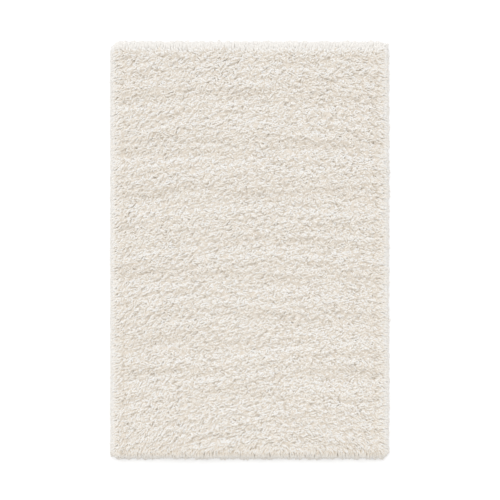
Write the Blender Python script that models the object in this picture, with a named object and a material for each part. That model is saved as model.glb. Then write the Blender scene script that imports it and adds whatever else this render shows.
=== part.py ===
"""A shag rug of 1.2 x 1.8 m, lying flat: its backing and its deep pile are one cloth, so one solid.

X runs across the rug, Y along it and Z up, in metres. The origin is on the floor, under the
rug's middle. The solid reaches as far as the pile does: its sides are the pile that spills
past the backing, and its top is the pile's surface, with the shallow creases that being
rolled up has left across the rug.
"""

import math
from collections import namedtuple

import bmesh
import bpy

# Driving dimensions, in metres
WIDTH = 1.200  # across the rug, over the pile at its sides
LENGTH = 1.800  # along the rug, over the pile at its ends
PILE_TOP = 0.042  # from the floor to the pile's surface, away from the creases
CORNER_RADIUS = 0.036  # of the outline, seen from above
SPILL_WIDTH = 0.045  # the band along the outline where the pile turns over and down
SPILL_TOP = 0.016  # height of the outline, where the spilled pile reaches furthest
FOOT_HEIGHT = 0.006  # below this the spilled pile curls back in
FOOT_INSET = 0.005  # how far it curls in, down to the floor
CREASE_FADE = 0.180  # the stretch over which a crease ends that stops short of the rug's side
CREASE_WAVER = 0.006  # how far a crease strays from its straight line
CREASE_WAVE = 0.420  # the wave length of its straying
SIDE_WAVER = 0.0030  # how far the uneven outline draws in along the sides
END_WAVER = 0.0040  # the same along the two ends, where the pile is more ragged
BOTTOM_CELL = 0.150  # size of the facets of the flat underside

# The creases, from the +Y end to the -Y end. Each runs from start to end across the rug, or on
# past a side. left_y and right_y are its places along the rug at the -X and the +X side, depth
# is how far it lowers the pile, and run is how far from its middle line the pile is full again.
Crease = namedtuple("Crease", "left_y right_y start end depth run")
CREASES = (
    Crease(left_y=0.637, right_y=0.632, start=-WIDTH, end=WIDTH, depth=0.0050, run=0.085),
    Crease(left_y=0.412, right_y=0.438, start=-WIDTH, end=WIDTH, depth=0.0060, run=0.070),
    Crease(left_y=0.214, right_y=0.226, start=-WIDTH, end=WIDTH, depth=0.0060, run=0.075),
    Crease(left_y=0.052, right_y=0.010, start=-WIDTH, end=WIDTH, depth=0.0045, run=0.085),
    Crease(left_y=-0.118, right_y=-0.150, start=-WIDTH, end=WIDTH, depth=0.0065, run=0.075),
    Crease(left_y=-0.300, right_y=-0.330, start=-0.060, end=WIDTH, depth=0.0060, run=0.075),
    Crease(left_y=-0.415, right_y=-0.405, start=-WIDTH, end=0.200, depth=0.0060, run=0.080),
    Crease(left_y=-0.545, right_y=-0.530, start=-WIDTH, end=-0.150, depth=0.0045, run=0.065),
    Crease(left_y=-0.560, right_y=-0.538, start=0.130, end=WIDTH, depth=0.0065, run=0.065),
    Crease(left_y=-0.672, right_y=-0.610, start=-0.280, end=0.150, depth=0.0050, run=0.060),
)

# The wavering outline: the wave lengths of the two waves that each edge is made of, and the
# part that each wave has in the waver.
Waver = namedtuple("Waver", "long short phase")
LEFT_EDGE = Waver(long=0.62, short=0.23, phase=0.4)
RIGHT_EDGE = Waver(long=0.55, short=0.19, phase=1.9)
NEAR_EDGE = Waver(long=0.48, short=0.21, phase=2.7)
FAR_EDGE = Waver(long=0.41, short=0.17, phase=0.9)
LONG_WAVE_SHARE = 0.6
SHORT_WAVE_SHARE = 0.4

# The top's grid: its lines are close together in the spill band and even inside it.
BAND_STEPS = (0.0, 0.002, 0.006, 0.013, 0.023, 0.034, SPILL_WIDTH)
STEP_ACROSS = 0.070
STEP_ALONG = 0.018
SHARP_ANGLE = math.radians(40)  # faces that meet at more than this have a sharp edge
ON_FLOOR = 1e-6  # a point lower than this lies on the floor

YARN_COLOUR = (0.80, 0.75, 0.67, 1.0)
YARN_ROUGHNESS = 0.95


def smooth(share):
    """An S-curve from 0 to 1 as share goes from 0 to 1."""
    t = min(max(share, 0.0), 1.0)
    return t * t * (3.0 - 2.0 * t)


def grid_lines(size, step):
    """The places of the top's grid lines along one side of the rug, from -size/2 to size/2."""
    half = size / 2
    inner = size - 2 * SPILL_WIDTH
    count = round(inner / step)
    near = [-half + inset for inset in BAND_STEPS]
    middle = [-inner / 2 + inner * i / count for i in range(1, count)]
    return near + middle + [-place for place in reversed(near)]


def inset_of(x, y):
    """How far a point of the square grid lies inside the rug's outline."""
    return min(WIDTH / 2 - abs(x), LENGTH / 2 - abs(y))


def rounded(x, y):
    """A point of the square grid moved so that the rug's square corners turn into round ones."""
    in_x = abs(x) - (WIDTH / 2 - CORNER_RADIUS)
    in_y = abs(y) - (LENGTH / 2 - CORNER_RADIUS)
    if in_x <= 0 or in_y <= 0:
        return x, y
    pull = max(in_x, in_y) / math.hypot(in_x, in_y)
    new_x = WIDTH / 2 - CORNER_RADIUS + in_x * pull
    new_y = LENGTH / 2 - CORNER_RADIUS + in_y * pull
    return math.copysign(new_x, x), math.copysign(new_y, y)


def drawn_in(waver, place):
    """From 0 to 1, how much of its waver an edge is drawn in at this place along it."""
    long = math.cos(2 * math.pi * place / waver.long + waver.phase)
    short = math.cos(2 * math.pi * place / waver.short - waver.phase)
    return (1.0 - LONG_WAVE_SHARE * long - SHORT_WAVE_SHARE * short) / 2


def uneven(x, y, inset):
    """A point moved with the uneven outline, less and less up to the inside of the spill band."""
    share = smooth(1.0 - inset / SPILL_WIDTH)
    side = drawn_in(RIGHT_EDGE if x > 0 else LEFT_EDGE, y) * SIDE_WAVER
    end = drawn_in(FAR_EDGE if y > 0 else NEAR_EDGE, x) * END_WAVER
    return (
        x * (1.0 - share * side / (WIDTH / 2)),
        y * (1.0 - share * end / (LENGTH / 2)),
    )


def crease_depth(x, y):
    """How far the creases lower the pile's surface at this point."""
    across = x / WIDTH + 0.5
    total = 0.0
    for crease in CREASES:
        straight = crease.left_y + (crease.right_y - crease.left_y) * across
        stray = CREASE_WAVER * math.sin(2 * math.pi * (x + crease.left_y) / CREASE_WAVE)
        begun = smooth(0.5 + (x - crease.start) / CREASE_FADE)
        left = smooth(0.5 + (crease.end - x) / CREASE_FADE)
        near = smooth(1.0 - abs(y - straight - stray) / crease.run)
        total += crease.depth * begun * left * near
    return total


def spill_share(inset):
    """The pile's height in the spill band, as a share of its full height over the outline."""
    t = 1.0 - min(inset / SPILL_WIDTH, 1.0)
    return math.sqrt(1.0 - t * t)


def surface_height(x, y, inset):
    """Height of the pile's surface over the floor."""
    full = PILE_TOP - crease_depth(x, y) - SPILL_TOP
    return SPILL_TOP + full * spill_share(inset)


def make_top(bm):
    """The pile's surface, as a grid of faces between the grid lines."""
    rows = []
    for y in grid_lines(LENGTH, STEP_ALONG):
        row = []
        for x in grid_lines(WIDTH, STEP_ACROSS):
            inset = inset_of(x, y)
            place_x, place_y = uneven(*rounded(x, y), inset)
            height = surface_height(place_x, place_y, inset)
            row.append(bm.verts.new((place_x, place_y, height)))
        rows.append(row)
    for row, next_row in zip(rows, rows[1:]):
        for i in range(len(row) - 1):
            bm.faces.new((row[i], row[i + 1], next_row[i + 1], next_row[i]))


def extrude_rim(bm, rim, inset, height):
    """Extrudes the rim's edges to a new rim, drawn in by inset, at this height."""
    made = bmesh.ops.extrude_edge_only(bm, edges=rim)["geom"]
    for vert in (part for part in made if isinstance(part, bmesh.types.BMVert)):
        vert.co.x *= 1.0 - 2.0 * inset / WIDTH
        vert.co.y *= 1.0 - 2.0 * inset / LENGTH
        vert.co.z = height
    return [
        part for part in made if isinstance(part, bmesh.types.BMEdge) and part.is_boundary
    ]


def make_underside(bm, rim):
    """Fills the rim on the floor with one flat face, then cuts that into even facets."""
    bmesh.ops.contextual_create(bm, geom=rim)
    for axis, size in ((0, WIDTH), (1, LENGTH)):
        cuts = int(size / BOTTOM_CELL)
        for i in range(1, cuts):
            plane_co = [0.0, 0.0, 0.0]
            plane_no = [0.0, 0.0, 0.0]
            plane_co[axis] = -size / 2 + size * i / cuts
            plane_no[axis] = 1.0
            flat = [face for face in bm.faces if all(v.co.z < ON_FLOOR for v in face.verts)]
            parts = {edge for face in flat for edge in face.edges}
            inner = [edge for edge in parts if all(face in flat for face in edge.link_faces)]
            corners = {vert for face in flat for vert in face.verts}
            bmesh.ops.bisect_plane(
                bm, geom=flat + inner + list(corners), plane_co=plane_co, plane_no=plane_no
            )


def make_rug():
    """The whole rug as one closed mesh: its surface, its spilled edge, its foot and its underside."""
    bm = bmesh.new()
    make_top(bm)
    outline = [edge for edge in bm.edges if edge.is_boundary]
    ankle = extrude_rim(bm, outline, inset=0.0, height=FOOT_HEIGHT)
    sole = extrude_rim(bm, ankle, inset=FOOT_INSET, height=0.0)
    make_underside(bm, sole)
    bmesh.ops.recalc_face_normals(bm, faces=bm.faces)
    mesh = bpy.data.meshes.new("rug")
    bm.to_mesh(mesh)
    bm.free()
    mesh.shade_smooth()
    mesh.set_sharp_from_angle(angle=SHARP_ANGLE)
    rug = bpy.data.objects.new("rug", mesh)
    bpy.context.scene.collection.objects.link(rug)
    return rug


def yarn_material():
    """Plain off-white yarn."""
    material = bpy.data.materials.new("off_white_yarn")
    material.use_nodes = True
    shader = material.node_tree.nodes["Principled BSDF"]
    shader.inputs["Base Color"].default_value = YARN_COLOUR
    shader.inputs["Roughness"].default_value = YARN_ROUGHNESS
    shader.inputs["Metallic"].default_value = 0.0
    return material


def main():
    for obj in list(bpy.data.objects):
        bpy.data.objects.remove(obj)
    rug = make_rug()
    rug.data.materials.append(yarn_material())


main()
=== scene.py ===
"""The looks of a shag rug, 1.2 x 1.8 m over its pile, that lies flat with its pile up.

The rug is one cloth: strands of thick off-white yarn stand close together in a woven backing.
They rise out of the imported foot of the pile, lean over to the two sides and lie on each other
like shingles. Along the outline they spill over the backing's edge and down to the floor. The
pile's surface follows the frame's solid, with the shallow creases that being rolled up has left
in it. Low ripples and the locks that the strands lie in are added to it.

Sizes are in metres, and angles in degrees unless a field says otherwise. Colours are linear.
X runs across the rug, Y along it and Z up. The far end is the one at +Y, the near end at -Y.
"""

import logging
import math
from dataclasses import dataclass, field
from enum import Enum

import bpy
import numpy as np
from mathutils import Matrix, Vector
from mathutils.bvhtree import BVHTree


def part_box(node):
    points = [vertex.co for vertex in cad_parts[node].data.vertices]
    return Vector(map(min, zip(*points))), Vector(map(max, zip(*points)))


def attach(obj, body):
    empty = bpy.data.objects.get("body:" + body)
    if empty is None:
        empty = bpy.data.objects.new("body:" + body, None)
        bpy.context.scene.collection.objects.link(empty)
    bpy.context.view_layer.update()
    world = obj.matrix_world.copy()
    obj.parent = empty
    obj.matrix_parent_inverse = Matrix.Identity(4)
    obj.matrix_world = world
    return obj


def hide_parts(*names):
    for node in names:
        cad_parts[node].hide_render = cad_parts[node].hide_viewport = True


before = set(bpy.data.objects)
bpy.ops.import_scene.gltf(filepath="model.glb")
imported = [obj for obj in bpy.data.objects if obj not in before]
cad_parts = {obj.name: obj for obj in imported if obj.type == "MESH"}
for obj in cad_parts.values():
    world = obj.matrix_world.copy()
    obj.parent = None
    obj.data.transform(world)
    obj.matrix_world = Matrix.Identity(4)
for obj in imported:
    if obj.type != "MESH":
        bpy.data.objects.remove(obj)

LOG = logging.getLogger("rug")
NODE = "rug"
BODY = "root"
YARN_MAP = "OFBake"  # the name of the UV map that holds the yarn's looks
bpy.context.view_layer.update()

TYPICAL = 68.0  # this percentage of values lies within one standard deviation
TINY = 1e-9  # keeps a division by a length from failing where the length is 0
ON_AXIS = 1e-6  # a point nearer to a strand's axis than this lies on it
SHORT_OF_LAST = 1.001  # keeps a place among the readings short of their last row or column
MIX_INPUTS = (0, 6, 7)  # a Mix node's inputs for the factor and for two colours
MIX_OUTPUT = 2  # its output for a colour

Socket = bpy.types.NodeSocket
Input = Socket | float | tuple
Colour = tuple[float, float, float]
Arrays = tuple[np.ndarray, np.ndarray]


class Slot(Enum):
    """Material slot names for the pile's yarn and the woven backing; nothing in this script uses
    them.
    """

    PILE = "pile_yarn"
    BACKING = "woven_backing"


class Blend(Enum):
    """How one colour is laid over another."""

    MIX = "MIX"
    MULTIPLY = "MULTIPLY"


def smooth(share: np.ndarray) -> np.ndarray:
    """An S-curve from 0 to 1 as share goes from 0 to 1."""
    t = np.clip(share, 0.0, 1.0)
    return t * t * (3.0 - 2.0 * t)


@dataclass(frozen=True)
class Unevenness:
    """A smooth random field that is a sum of waves.

    Attributes:
        shortest: The shortest wave length.
        longest: The longest wave length.
        seed: The seed of its random draws.
        heading: The direction the waves run in, in radians from +X towards +Y.
        spread: How far their directions differ from it, in radians; pi for all directions.
        waves: How many waves are added up.
        even_slope: Whether all waves are as steep, so that the long ones are the highest. If
            not, they are as high.
    """

    shortest: float
    longest: float
    seed: int
    heading: float = 0.0
    spread: float = math.pi
    waves: int = 28
    even_slope: bool = False

    def at(self, x: np.ndarray, y: np.ndarray) -> np.ndarray:
        """The field at these places.

        Args:
            x: Places across the rug.
            y: Places along the rug.

        Returns:
            Values round 0. Their standard deviation is about 1 or, with even_slope, that of
            their slope is.
        """
        draw = np.random.default_rng(self.seed)
        heading = self.heading + self.spread * draw.uniform(-1.0, 1.0, self.waves)
        length = self.shortest * (self.longest / self.shortest) ** draw.random(self.waves)
        phase = draw.uniform(0.0, 2 * math.pi, self.waves)
        total = np.zeros_like(x)
        for i in range(self.waves):
            along = x * math.cos(heading[i]) + y * math.sin(heading[i])
            height = length[i] / (2 * math.pi) if self.even_slope else 1.0
            total += height * np.cos(2 * math.pi * along / length[i] + phase[i])
        return total * math.sqrt(2 / self.waves)

    def slopes(self, x: np.ndarray, y: np.ndarray, step: float = 0.0005) -> Arrays:
        """The field's slopes at these places.

        Args:
            x: Places across the rug.
            y: Places along the rug.
            step: How far to both sides the field is read.

        Returns:
            The slopes across and along the rug.
        """
        across = self.at(x + step, y) - self.at(x - step, y)
        along = self.at(x, y + step) - self.at(x, y - step)
        return across / (2 * step), along / (2 * step)


@dataclass
class PileSurface:
    """The pile's surface: the upper face of the frame's rug, with ripples and locks added.

    Attributes:
        step: The distance between two readings of the upper face.
        inset: Readings this near the outline or past it are taken at this distance inside it.
        corner_radius: The radius of the outline's corners.
        fall: How fast the surface falls past the outline, as height over distance.
        full: The height of the pile away from the creases.
        deepening: How much deeper the creases are than the solid's, as a share.
        deepening_start: How far inside the outline they begin to be.
        deepening_run: The stretch over which that sets in.
        ripple: How steep the ripples are, the long, low waves across the rug.
        ripple_short: The ripples' shortest wave length.
        ripple_long: The ripples' longest wave length.
        ripple_spread: How far the ripples' directions differ, in radians.
        ripple_waves: How many waves the ripples are made of.
        ripple_drift: The part of the locks' drift that the ripples follow.
        lock: How steep the locks are, the short ridges that the strands lie in.
        lock_short: The locks' shortest wave length.
        lock_long: The locks' longest wave length.
        lock_spread: How far the locks' directions differ, in radians.
        lock_waves: How many waves the locks are made of.
        relief_start: How far inside the outline the ripples and locks begin.
        relief_run: The stretch over which they set in.
        drift_start: How fast the locks' lines climb along the rug, in its middle, as a slope.
        drift_bend: Half of what that slope changes by for each metre to the right.
        tone_reach: How far before and behind a place the two heights are read that tell how
            the surface is turned there.
        tone_most: The most that it counts as turned, in standard deviations.
        parting: How far inside its two sides the rug's pile parts.
        parting_run: How far from there the surface still sinks.
        parting_dip: How far it sinks at most.
        outline_shift: How far a place on the outline may be off, as a share of the pitch.
        low: The lowest corner of the frame's rug.
        high: The highest corner of the frame's rug.
        heights: The readings, a row for each place along the rug.
    """

    step: float = 0.005
    inset: float = 0.006
    corner_radius: float = 0.036
    fall: float = 2.0
    full: float = 0.042
    deepening: float = 0.4
    deepening_start: float = 0.045
    deepening_run: float = 0.04
    ripple: float = 0.085
    ripple_short: float = 0.044
    ripple_long: float = 0.110
    ripple_spread: float = 0.22
    ripple_waves: int = 60
    ripple_drift: float = 0.5
    lock: float = 0.33
    lock_short: float = 0.018
    lock_long: float = 0.042
    lock_spread: float = 1.10
    lock_waves: int = 120
    relief_start: float = 0.02
    relief_run: float = 0.04
    drift_start: float = 0.12
    drift_bend: float = -0.35
    tone_reach: float = 0.008
    tone_most: float = 6.0
    parting: float = 0.055
    parting_run: float = 0.022
    parting_dip: float = 0.0030
    outline_shift: float = 0.35
    low: Vector = field(init=False)
    high: Vector = field(init=False)
    heights: np.ndarray = field(init=False)

    def __post_init__(self) -> None:
        """Reads the upper face by casting a ray down at each point of a grid."""
        self.low, self.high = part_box(NODE)
        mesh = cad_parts[NODE].data
        tree = BVHTree.FromPolygons(
            [vert.co for vert in mesh.vertices], [face.vertices for face in mesh.polygons]
        )
        above = self.high.z + self.step
        down = Vector((0.0, 0.0, -1.0))
        rows = []
        for y in np.arange(self.low.y, self.high.y + self.step, self.step):
            row = []
            for x in np.arange(self.low.x, self.high.x + self.step, self.step):
                hit = tree.ray_cast(Vector((x, y, above)), down)[0]
                row.append(hit.z if hit else np.nan)
            rows.append(row)
        self.heights = self._filled(np.array(rows))

    @staticmethod
    def _filled(heights: np.ndarray) -> np.ndarray:
        """The readings with those past the outline taken from their neighbours.

        Args:
            heights: The readings, with NaN where a ray missed the rug.

        Returns:
            The readings with no NaN left.
        """
        while np.isnan(heights).any():
            padded = np.pad(heights, 1, constant_values=np.nan)
            near = np.stack(
                [padded[1:-1, :-2], padded[1:-1, 2:], padded[:-2, 1:-1], padded[2:, 1:-1]]
            )
            known = ~np.isnan(near)
            mean = np.where(known, near, 0.0).sum(0) / np.maximum(known.sum(0), 1)
            mean[~known.any(0)] = np.nan
            heights = np.where(np.isnan(heights), mean, heights)
        return heights

    def distance_inside(self, x: np.ndarray, y: np.ndarray) -> np.ndarray:
        """How far places lie inside the outline.

        Args:
            x: Places across the rug.
            y: Places along the rug.

        Returns:
            The distances, which are below 0 outside the outline.
        """
        half_x = (self.high.x - self.low.x) / 2 - self.corner_radius
        half_y = (self.high.y - self.low.y) / 2 - self.corner_radius
        past_x = np.abs(x) - half_x
        past_y = np.abs(y) - half_y
        outside = np.hypot(np.maximum(past_x, 0.0), np.maximum(past_y, 0.0))
        return self.corner_radius - outside - np.minimum(np.maximum(past_x, past_y), 0.0)

    def at(self, x: np.ndarray, y: np.ndarray) -> np.ndarray:
        """The surface's height over the floor at these places.

        Args:
            x: Places across the rug, also past its outline.
            y: Places along the rug, also past its outline.

        Returns:
            The heights, which go on falling past the outline.
        """
        inside = self.distance_inside(x, y)
        past = np.maximum(self.inset - inside, 0.0)
        height = self._read(x, y, past)
        deepened = smooth((inside - self.deepening_start) / self.deepening_run)
        deeper = self.deepening * deepened * (self.full - height)
        relief = self.ripple * self.ripples(x, y, even_slope=True)
        relief += self.lock * self._locks().at(x, y - self._drift(x))
        relief *= smooth((inside - self.relief_start) / self.relief_run)
        dip = self.parting_dip * self.at_parting(x)
        return height - deeper + relief - self.fall * past - dip

    def at_parting(self, x: np.ndarray) -> np.ndarray:
        """From 0 to 1, how near these places lie to where the pile of the two sides parts."""
        away = np.abs(self.high.x - np.abs(x) - self.parting)
        return smooth(1.0 - away / self.parting_run)

    def turned_up(self, x: np.ndarray, y: np.ndarray) -> np.ndarray:
        """How far the surface is turned to the far end.

        Args:
            x: Places across the rug.
            y: Places along the rug.

        Returns:
            The turns, in standard deviations.
        """
        # The far end is where the light comes from: the strands' painted shade and light follow
        # this turn.
        turned = self.at(x, y - self.tone_reach) - self.at(x, y + self.tone_reach)
        typical = np.percentile(np.abs(turned), TYPICAL)
        return np.clip(turned / typical, -self.tone_most, self.tone_most)

    def ripples(self, x: np.ndarray, y: np.ndarray, even_slope: bool) -> np.ndarray:
        """The field of the ripples.

        Args:
            x: Places across the rug.
            y: Places along the rug.
            even_slope: Whether all its waves are as steep.

        Returns:
            The field's values.
        """
        waves = Unevenness(
            self.ripple_short, self.ripple_long, seed=41, heading=math.pi / 2,
            spread=self.ripple_spread, waves=self.ripple_waves, even_slope=even_slope,
        )
        return waves.at(x, y - self.ripple_drift * self._drift(x))

    def lock_slopes(self, x: np.ndarray, y: np.ndarray) -> Arrays:
        """The locks' slopes across and along the rug at these places."""
        return self._locks().slopes(x, y - self._drift(x))

    def outline(self, inset: float, pitch: float, draw: np.random.Generator) -> Arrays:
        """Places on a line that follows the outline.

        Args:
            inset: How far inside the outline the line lies.
            pitch: About how far the places are apart.
            draw: The generator of the random draws.

        Returns:
            The places across and along the rug.
        """
        radius = self.corner_radius - inset
        straight_x = self.high.x - self.corner_radius
        straight_y = self.high.y - self.corner_radius
        bend = radius * math.pi / 2
        total = 4 * (straight_x + straight_y + bend)
        count = round(total / pitch)
        shift = self.outline_shift * draw.uniform(-1, 1, count)
        along = (np.arange(count) + 0.5 + shift) / count * total
        quarter = (along // (total / 4)).astype(int)
        along = along % (total / 4)
        along = np.where(quarter % 2 == 0, along, total / 4 - along)
        turn = np.clip((along - straight_x) / radius, 0.0, math.pi / 2)
        x = np.minimum(along, straight_x) + radius * np.sin(turn)
        y = straight_y + radius * np.cos(turn) - np.maximum(along - straight_x - bend, 0.0)
        on_left = (quarter == 1) | (quarter == 2)
        return x * np.where(on_left, -1, 1), y * np.where(quarter >= 2, -1, 1)

    def _drift(self, x: np.ndarray) -> np.ndarray:
        """How far along the rug a line that follows the locks lies, at these places across."""
        return self.drift_start * x + self.drift_bend * x * x

    def _locks(self) -> Unevenness:
        """The field of the locks, before they drift.

        Returns:
            The field.
        """
        return Unevenness(
            self.lock_short, self.lock_long, seed=43, heading=math.pi / 2,
            spread=self.lock_spread, waves=self.lock_waves, even_slope=True,
        )

    def _read(self, x: np.ndarray, y: np.ndarray, past: np.ndarray) -> np.ndarray:
        """The upper face's height, read between the four readings round each place.

        Args:
            x: Places across the rug.
            y: Places along the rug.
            past: How far each place is pulled in to the rug's middle first.

        Returns:
            The heights over the floor.
        """
        shrink = 1.0 - past / np.maximum(np.hypot(x, y), self.inset)
        column = (x * shrink - self.low.x) / self.step
        row = (y * shrink - self.low.y) / self.step
        column = np.clip(column, 0.0, self.heights.shape[1] - SHORT_OF_LAST)
        row = np.clip(row, 0.0, self.heights.shape[0] - SHORT_OF_LAST)
        i = row.astype(int)
        j = column.astype(int)
        di = row - i
        dj = column - j
        near = self.heights[i, j] * (1 - dj) + self.heights[i, j + 1] * dj
        far = self.heights[i + 1, j] * (1 - dj) + self.heights[i + 1, j + 1] * dj
        return near * (1 - di) + far * di


class Shader:
    """A material's node tree, built node by node."""

    def __init__(self, name: str, roughness: float, specular: float = 0.5) -> None:
        """Starts a material that holds a Principled BSDF and its output.

        Args:
            name: The material's name.
            roughness: How matt it is.
            specular: How strongly it reflects, where 0.5 is usual.
        """
        self.material = bpy.data.materials.new(name)
        self.material.use_nodes = True
        self.tree = self.material.node_tree
        self.surface = self.tree.nodes["Principled BSDF"]
        self.surface.inputs["Roughness"].default_value = roughness
        self.surface.inputs["Specular IOR Level"].default_value = specular

    def node(self, kind: str, **settings: str) -> bpy.types.ShaderNode:
        """Adds a node.

        Args:
            kind: The node's type, without its ShaderNode.
            settings: Its properties.

        Returns:
            The new node.
        """
        made = self.tree.nodes.new("ShaderNode" + kind)
        for name, value in settings.items():
            setattr(made, name, value)
        return made

    def feed(self, socket: Socket, value: Input) -> None:
        """Links a socket to another node's output, or sets its value.

        Args:
            socket: The socket.
            value: The output, or the value.
        """
        if isinstance(value, Socket):
            self.tree.links.new(value, socket)
        else:
            socket.default_value = value

    def maths(self, operation: str, *values: Input) -> Socket:
        """The result of a Math node.

        Args:
            operation: What it does.
            values: The numbers or outputs that it does it to.

        Returns:
            The node's output.
        """
        made = self.node("Math", operation=operation)
        for socket, value in zip(made.inputs, values):
            self.feed(socket, value)
        return made.outputs[0]

    def place(self) -> Socket:
        """The place on the object, in its own coordinates."""
        return self.node("TexCoord").outputs["Object"]

    def split(self, vector: Socket) -> tuple[Socket, Socket]:
        """The first two parts of a vector.

        Args:
            vector: The vector.

        Returns:
            Its parts.
        """
        made = self.node("SeparateXYZ")
        self.feed(made.inputs[0], vector)
        return made.outputs[0], made.outputs[1]

    def noise(self, vector: Input, scale: float, detail: float) -> Socket:
        """A Noise Texture.

        Args:
            vector: The coordinates that it is read at.
            scale: How fine it is.
            detail: How many finer layers it has.

        Returns:
            Its value, from 0 to 1.
        """
        made = self.node("TexNoise")
        self.feed(made.inputs["Vector"], vector)
        made.inputs["Scale"].default_value = scale
        made.inputs["Detail"].default_value = detail
        return made.outputs[0]

    def vector(self, x: Input, y: Input, z: Input = 0.0) -> Socket:
        """A vector of three numbers or outputs.

        Args:
            x: Its first part.
            y: Its second part.
            z: Its third part.

        Returns:
            The vector.
        """
        made = self.node("CombineXYZ")
        for socket, value in zip(made.inputs, (x, y, z)):
            self.feed(socket, value)
        return made.outputs[0]

    def ramp(self, value: Input, stops: tuple[tuple[float, Colour], ...]) -> Socket:
        """A colour that changes with a value.

        Args:
            value: The output that the colour follows.
            stops: Pairs of a value and its colour, from low to high.

        Returns:
            The colour.
        """
        made = self.node("ValToRGB")
        elements = made.color_ramp.elements
        while len(elements) < len(stops):
            elements.new(0.5)
        for element, (place, colour) in zip(elements, stops):
            element.position = place
            element.color = (*colour, 1.0)
        self.feed(made.inputs[0], value)
        return made.outputs[0]

    def mixed(self, factor: Input, first: Input, second: Input, blend: Blend) -> Socket:
        """Two colours laid over each other.

        Args:
            factor: How much of the second colour there is, from 0 to 1.
            first: The lower colour.
            second: The upper colour.
            blend: How the upper one acts on the lower one.

        Returns:
            The colour that results.
        """
        made = self.node("Mix", data_type="RGBA", blend_type=blend.value)
        for place, value in zip(MIX_INPUTS, (factor, first, second)):
            self.feed(made.inputs[place], value)
        return made.outputs[MIX_OUTPUT]

    def shaded(self, colour: Input, shade: Input) -> Socket:
        """A colour made darker or lighter by a factor."""
        return self.mixed(1.0, colour, self.vector(shade, shade, shade), Blend.MULTIPLY)

    def colour(self, value: Input) -> None:
        """Gives the surface its colour."""
        self.feed(self.surface.inputs["Base Color"], value)

    def bump(self, height: Input, distance: float) -> None:
        """Gives the surface small relief.

        Args:
            height: The output that gives the relief, from 0 to 1.
            distance: The relief's height at 1.
        """
        made = self.node("Bump")
        made.inputs["Distance"].default_value = distance
        self.feed(made.inputs["Height"], height)
        self.feed(self.surface.inputs["Normal"], made.outputs[0])


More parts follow.
